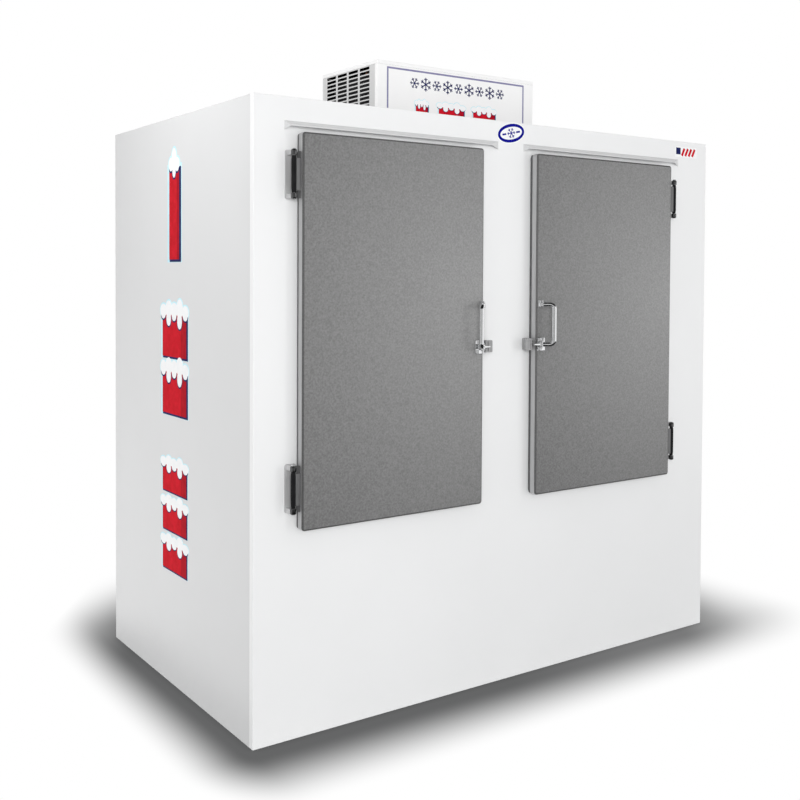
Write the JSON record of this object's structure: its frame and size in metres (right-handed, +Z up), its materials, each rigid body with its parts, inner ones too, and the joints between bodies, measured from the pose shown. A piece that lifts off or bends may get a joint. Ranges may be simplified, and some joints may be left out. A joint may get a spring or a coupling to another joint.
{
  "type": "ice merchandiser freezer",
  "caption": "Insulated white steel freezer cabinet for bagged ice, with hinged grey front doors, latching pull handles, drip rails and a louvred roof hood over its refrigeration unit.",
  "frame": {"origin": "centre of the cabinet's base, on the floor", "axes": "+Z up, +Y from the doors to the back, +X to the right as seen from the front"},
  "size_m": [1.854, 1.1357, 1.978],
  "materials": {
    "cabinet_white": "semi-gloss baked enamel",
    "foam": "rigid foam",
    "liner_metal": "satin",
    "frame_plastic": "smooth",
    "hinge_chrome": "polished",
    "galvanised": "galvanised",
    "compressor_black": "satin black",
    "coil_metal": "mill finish",
    "copper": "bright copper",
    "black_plastic": "matte",
    "door_face": "fine embossed grain",
    "door_edge_metal": "satin",
    "seal_rubber": "matte"
  },
  "bodies": {
    "cabinet": {"base_pan": "cabinet_white", "left_side_panel": "cabinet_white", "right_side_panel": "cabinet_white", "rear_panel": "cabinet_white", "roof_panel": "cabinet_white", "front_panel": "cabinet_white", "insulation": "foam", "left_liner": "liner_metal", "right_liner": "liner_metal", "rear_liner": "liner_metal", "ceiling_liner": "liner_metal", "floor_liner": "liner_metal", "front_liner": "liner_metal", "left_opening_frame": "frame_plastic", "right_opening_frame": "frame_plastic", "left_drip_rail": "cabinet_white", "right_drip_rail": "cabinet_white", "left_hinge_plates": "hinge_chrome", "right_hinge_plates": "hinge_chrome", "hinge_pins": "hinge_chrome", "left_strike": "hinge_chrome", "right_strike": "hinge_chrome", "hood_front": "cabinet_white", "hood_left_louvre": "cabinet_white", "hood_right_louvre": "cabinet_white", "hood_rear": "cabinet_white", "hood_top": "cabinet_white", "unit_tray": "galvanised", "compressor": "compressor_black", "condenser_coil": "coil_metal", "fan_shroud": "galvanised", "condenser_motor": "compressor_black", "control_box": "cabinet_white", "copper_lines": "copper", "cord_gland": "black_plastic", "cooler_housing": "cabinet_white", "cooler_coil": "coil_metal", "cooler_motor": "compressor_black", "drain_pan": "cabinet_white"},
    "left_door": {"left_door_skin": "door_face", "left_door_edge": "door_edge_metal", "left_door_foam": "foam", "left_door_liner": "liner_metal", "left_door_seal": "seal_rubber", "left_hinge_straps": "hinge_chrome", "left_hinge_sleeves": "black_plastic", "left_latch_body": "hinge_chrome"},
    "right_door": {"right_door_skin": "door_face", "right_door_edge": "door_edge_metal", "right_door_foam": "foam", "right_door_liner": "liner_metal", "right_door_seal": "seal_rubber", "right_hinge_straps": "hinge_chrome", "right_hinge_sleeves": "black_plastic", "right_latch_body": "hinge_chrome"},
    "left_handle": {"left_handle": "hinge_chrome"},
    "right_handle": {"right_handle": "hinge_chrome"},
    "condenser_fan": {"condenser_fan": "coil_metal"},
    "cooler_fan": {"cooler_fan": "coil_metal"},
    "thermostat_knob": {"thermostat_knob": "black_plastic"}
  },
  "joints": [
    {"name": "left_door_swing", "type": "hinge", "parent": "cabinet", "child": "left_door", "pos_m": [-0.82, -0.555, 1.129], "axis": [0, 0, -1], "range_deg": [0, 120]},
    {"name": "right_door_swing", "type": "hinge", "parent": "cabinet", "child": "right_door", "pos_m": [0.718, -0.555, 1.129], "axis": [0, 0, 1], "range_deg": [0, 120]},
    {"name": "left_handle_pull", "type": "hinge", "parent": "left_door", "child": "left_handle", "pos_m": [-0.172, -0.5745, 1.068], "axis": [0, 0, 1], "range_deg": [0, 15], "stiffness_Nm_per_rad": 2},
    {"name": "right_handle_pull", "type": "hinge", "parent": "right_door", "child": "right_handle", "pos_m": [0.07, -0.5745, 1.068], "axis": [0, 0, -1], "range_deg": [0, 15], "stiffness_Nm_per_rad": 2},
    {"name": "condenser_fan_spin", "type": "hinge", "parent": "cabinet", "child": "condenser_fan", "pos_m": [-0.25, -0.066, 1.8595], "axis": [1, 0, 0], "continuous": true},
    {"name": "cooler_fan_spin", "type": "hinge", "parent": "cabinet", "child": "cooler_fan", "pos_m": [0, -0.007, 1.6], "axis": [0, 1, 0], "continuous": true},
    {"name": "thermostat_turn", "type": "hinge", "parent": "cabinet", "child": "thermostat_knob", "pos_m": [0.23, -0.022, 1.6], "axis": [0, -1, 0], "range_deg": [0, 270]}
  ]
}
